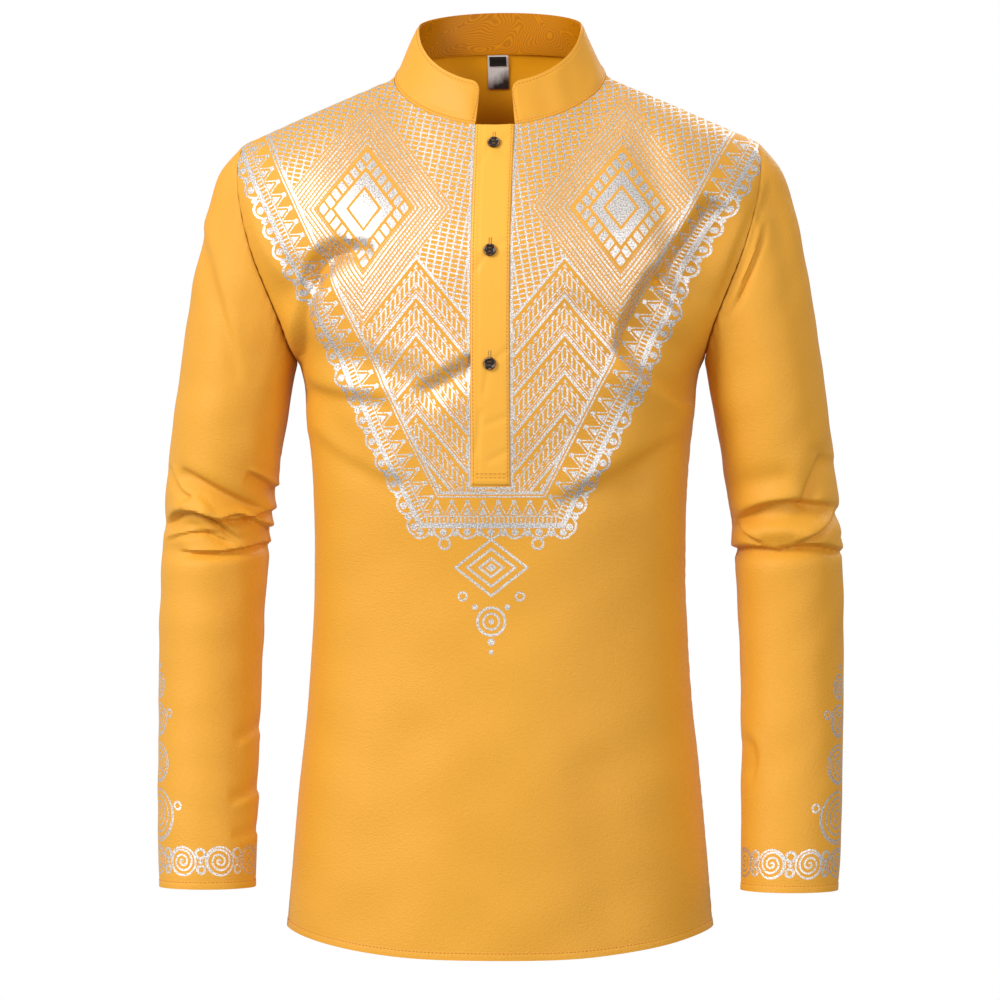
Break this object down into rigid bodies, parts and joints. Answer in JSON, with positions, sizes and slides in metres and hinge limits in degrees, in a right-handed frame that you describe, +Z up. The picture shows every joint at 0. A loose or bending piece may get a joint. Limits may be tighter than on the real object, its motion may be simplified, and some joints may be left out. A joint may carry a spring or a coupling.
{
  "type": "dashiki shirt",
  "caption": "Long-sleeved dashiki shirt in golden satin with a stand collar, a short buttoned neck opening and a silver foil ornament, in its worn, hollow form.",
  "frame": {"origin": "midway between the two neck points, where the shoulder seams meet the collar: the shirt hangs from the wearer's shoulders there", "axes": "+Z up, -Y is the front, +X is the viewer's right (the wearer's left)"},
  "size_m": [0.588, 0.2365, 0.8054],
  "materials": {
    "cloth": "golden satin with a soft sheen, silver foil print",
    "facing": "ochre satin with a watered figure",
    "button": "glossy black with a brown and gold rim",
    "label": "shiny silver grey tape, blank",
    "tab": "matt black tape, blank"
  },
  "bodies": {
    "root": {"front_panel": "cloth", "back_panel": "cloth", "sleeve_left": "cloth", "sleeve_right": "cloth", "collar_band": "cloth", "placket": "cloth", "placket_under": "cloth", "collar_facing": "facing", "button_1": "button", "button_2": "button", "button_3": "button", "neck_label": "label", "size_tab": "tab"}
  },
  "joints": []
}
